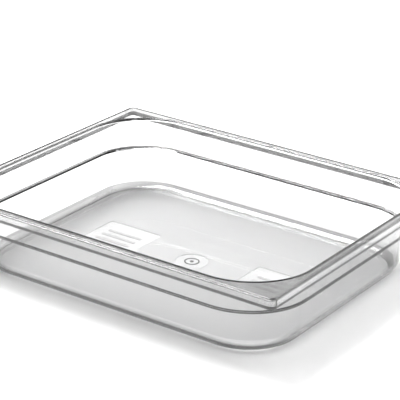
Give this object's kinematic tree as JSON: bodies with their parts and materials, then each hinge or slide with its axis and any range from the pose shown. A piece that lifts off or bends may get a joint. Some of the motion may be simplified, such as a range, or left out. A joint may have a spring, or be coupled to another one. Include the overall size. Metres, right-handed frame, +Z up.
{
  "type": "clear gastronorm pan",
  "caption": "Shallow clear rectangular pan with rounded inner corners, a square-cornered turned-down rim, a stacking shoulder and a flat base.",
  "frame": {"origin": "centre of the pan's footprint, on the plane of its flat underside", "axes": "+Z up out of the open mouth, +X along the longer side, -Y towards the front side"},
  "size_m": [0.325, 0.265, 0.065],
  "materials": {
    "clear": "polished",
    "satin_clear": "satin"
  },
  "bodies": {
    "root": {"floor_panel": "satin_clear", "wall_front": "clear", "wall_right": "clear", "wall_back": "clear", "wall_left": "clear", "wall_corner_back_right": "clear", "wall_corner_back_left": "clear", "wall_corner_front_left": "clear", "wall_corner_front_right": "clear", "rim_front": "clear", "rim_right": "clear", "rim_back": "clear", "rim_left": "clear", "rim_corner_back_right": "clear", "rim_corner_back_left": "clear", "rim_corner_front_left": "clear", "rim_corner_front_right": "clear"}
  },
  "joints": []
}
